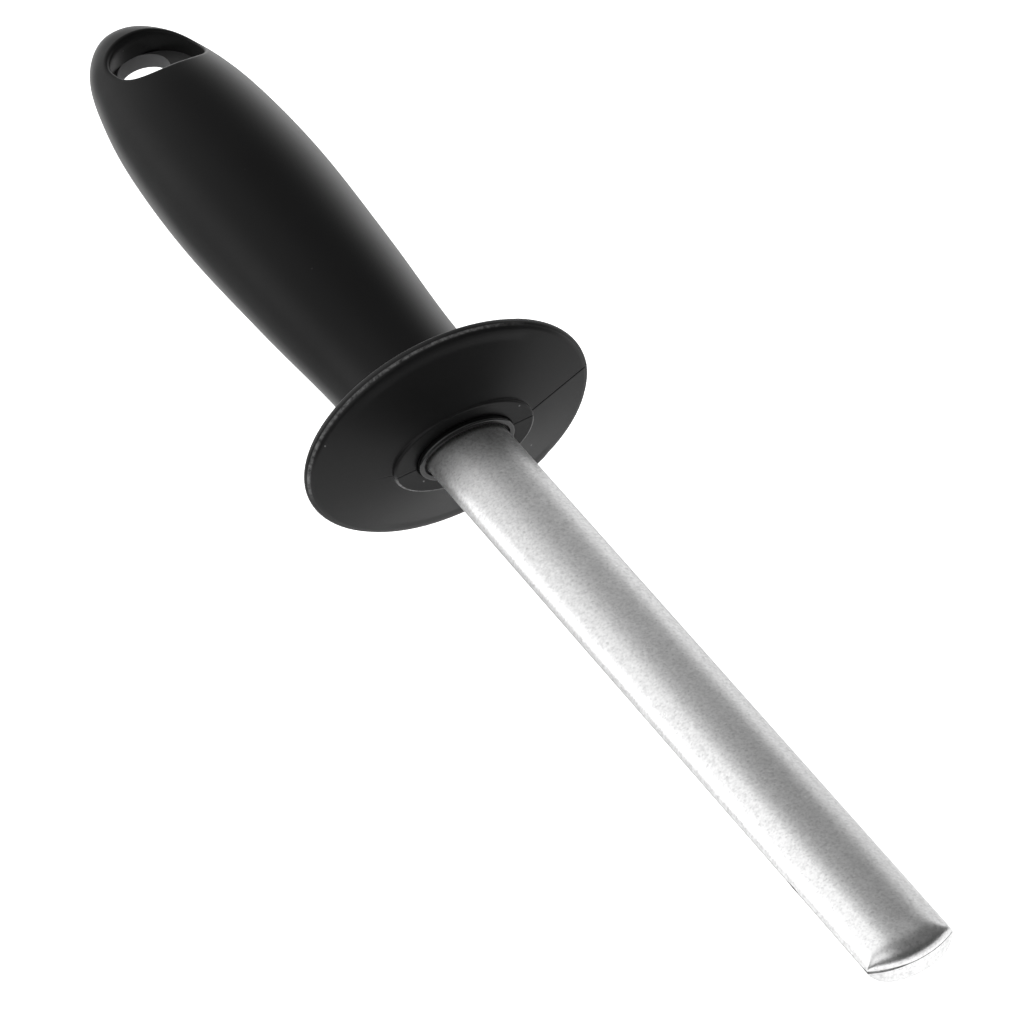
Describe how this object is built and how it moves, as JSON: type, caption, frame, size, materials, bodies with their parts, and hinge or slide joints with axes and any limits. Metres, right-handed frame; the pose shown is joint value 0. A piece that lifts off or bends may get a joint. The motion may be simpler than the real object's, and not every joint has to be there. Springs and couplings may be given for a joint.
{
  "type": "knife sharpening steel",
  "caption": "Butcher's hand sharpening steel: flat oval gritty rod, dished oval guard and a soft dark grip with a hanging eye.",
  "frame": {"origin": "where the rod's axis crosses the front face of the guard's collar", "axes": "+X along the rod towards its tip, +Y across the rod's width, +Z out of the broad upper face, the same way as the hanging hole's axis"},
  "size_m": [0.3286, 0.0598, 0.0412],
  "materials": {
    "bar_steel": "ground",
    "abrasive": "fine sparkling grit",
    "seal_rubber": "matte",
    "hard_black": "moulded satin",
    "core_nylon": "moulded matte",
    "soft_grip_rubber": "fine matte grain",
    "pin_steel": "drawn"
  },
  "bodies": {
    "root": {"rod_core": "bar_steel", "upper_abrasive_face": "abrasive", "lower_abrasive_face": "abrasive", "rod_seal": "seal_rubber", "rod_ferrule": "hard_black", "oval_guard": "hard_black", "handle_core": "core_nylon", "soft_grip": "soft_grip_rubber", "tang_pins": "pin_steel"}
  },
  "joints": []
}
